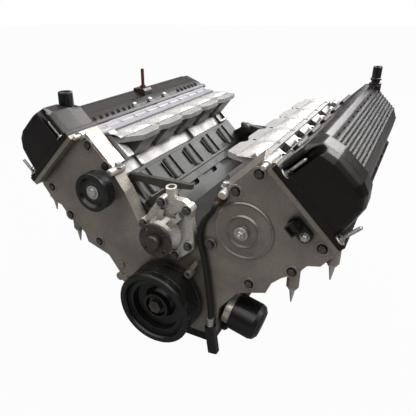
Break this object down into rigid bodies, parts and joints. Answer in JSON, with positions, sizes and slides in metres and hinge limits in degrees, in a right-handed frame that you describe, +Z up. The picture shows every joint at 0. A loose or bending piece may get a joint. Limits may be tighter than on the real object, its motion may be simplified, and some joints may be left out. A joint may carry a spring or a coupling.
{
  "type": "v-ten engine",
  "caption": "Ten-cylinder engine in a right-angle V with damper, coolant pump, idler, chain-driven overhead camshafts and an open intake valley.",
  "frame": {"origin": "centre of the crankshaft's rear flange face, on the crankshaft axis", "axes": "+Y along the crankshaft towards the gearbox, +Z up, +X to the right bank seen from the front"},
  "size_m": [0.6838, 0.6472, 0.585],
  "materials": {
    "cast_iron": "rough",
    "cast_aluminium": "as cast",
    "steel": "machined",
    "bright_bolts": "zinc plated",
    "black_cover": "satin",
    "black_paint": "satin",
    "rubber": "matt",
    "black_plastic": "matt",
    "plug_white": "glazed",
    "brass": "dull",
    "rust_paint": "worn",
    "guide_plastic": "smooth"
  },
  "bodies": {
    "long_block": {"block": "cast_iron", "core_plugs": "brass", "main_caps": "cast_iron", "main_cap_bolts": "steel", "main_bearings": "bright_bolts", "crankshaft": "steel", "pistons": "cast_aluminium", "piston_rings": "steel", "gudgeon_pins": "bright_bolts", "rods": "steel", "head_left": "cast_aluminium", "head_right": "cast_aluminium", "head_gaskets": "steel", "valves": "steel", "tappets": "bright_bolts", "cam_caps": "cast_aluminium", "spark_plugs": "plug_white", "cam_cover_left": "black_cover", "cam_cover_right": "black_cover", "cover_gaskets": "rubber", "studs": "bright_bolts", "timing_cover": "cast_aluminium", "front_seal": "rubber", "flange_bolts": "bright_bolts", "timing_chains": "steel", "chain_guides": "guide_plastic", "bearings": "bright_bolts", "idler_bolt": "bright_bolts", "pump_housing": "cast_aluminium", "cam_sensor": "black_plastic", "coolant_sensor": "brass", "sensor_lead": "rubber", "lead_clip": "bright_bolts", "lead_connector": "black_plastic", "filter_adapter": "cast_aluminium", "oil_filter": "black_paint", "oil_pan": "black_paint", "pan_gasket": "rubber", "pan_fasteners": "steel", "oil_pickup": "steel", "breather": "black_plastic", "lift_bracket": "steel", "lift_stud": "rust_paint", "valley_bracket": "cast_aluminium", "rear_housing": "cast_aluminium"},
    "crank_front": {"crank_nose": "steel", "crank_sprockets": "steel", "damper_hub": "black_paint", "damper_rubber": "rubber", "damper_pulley": "black_paint", "damper_bolt": "steel"},
    "crank_rear": {"crank_flange": "steel"},
    "cam_left": {"camshaft_left": "steel", "cam_sprocket_left": "steel"},
    "cam_right": {"camshaft_right": "steel", "cam_sprocket_right": "steel"},
    "pump_rotor": {"pump_hub": "steel", "pump_impeller": "steel"},
    "idler": {"idler_pulley": "black_plastic"},
    "filler_cap": {"oil_cap": "black_plastic"}
  },
  "joints": [
    {"name": "crank_turn", "type": "hinge", "parent": "long_block", "child": "crank_front", "pos_m": [0, -0.59, 0], "axis": [0, 1, 0], "continuous": true},
    {"name": "crank_rear_turn", "type": "hinge", "parent": "long_block", "child": "crank_rear", "pos_m": [0, -0.01, 0], "axis": [0, 1, 0], "continuous": true},
    {"name": "cam_left_turn", "type": "hinge", "parent": "long_block", "child": "cam_left", "pos_m": [-0.24197, -0.3, 0.24197], "axis": [0, 1, 0], "continuous": true},
    {"name": "cam_right_turn", "type": "hinge", "parent": "long_block", "child": "cam_right", "pos_m": [0.24197, -0.3, 0.24197], "axis": [0, 1, 0], "continuous": true},
    {"name": "pump_turn", "type": "hinge", "parent": "long_block", "child": "pump_rotor", "pos_m": [0, -0.61, 0.143], "axis": [0, 1, 0], "continuous": true},
    {"name": "idler_turn", "type": "hinge", "parent": "long_block", "child": "idler", "pos_m": [-0.141, -0.61, 0.2105], "axis": [0, 1, 0], "continuous": true},
    {"name": "cap_turn", "type": "hinge", "parent": "long_block", "child": "filler_cap", "pos_m": [-0.268, -0.5272, 0.342], "axis": [0, 0, 1], "range_deg": [0, 90]}
  ],
  "couplings": [
    {"joint": "crank_rear_turn", "follows": "crank_turn", "ratio": 1},
    {"joint": "cam_left_turn", "follows": "crank_turn", "ratio": 0.5},
    {"joint": "cam_right_turn", "follows": "crank_turn", "ratio": 0.5}
  ]
}
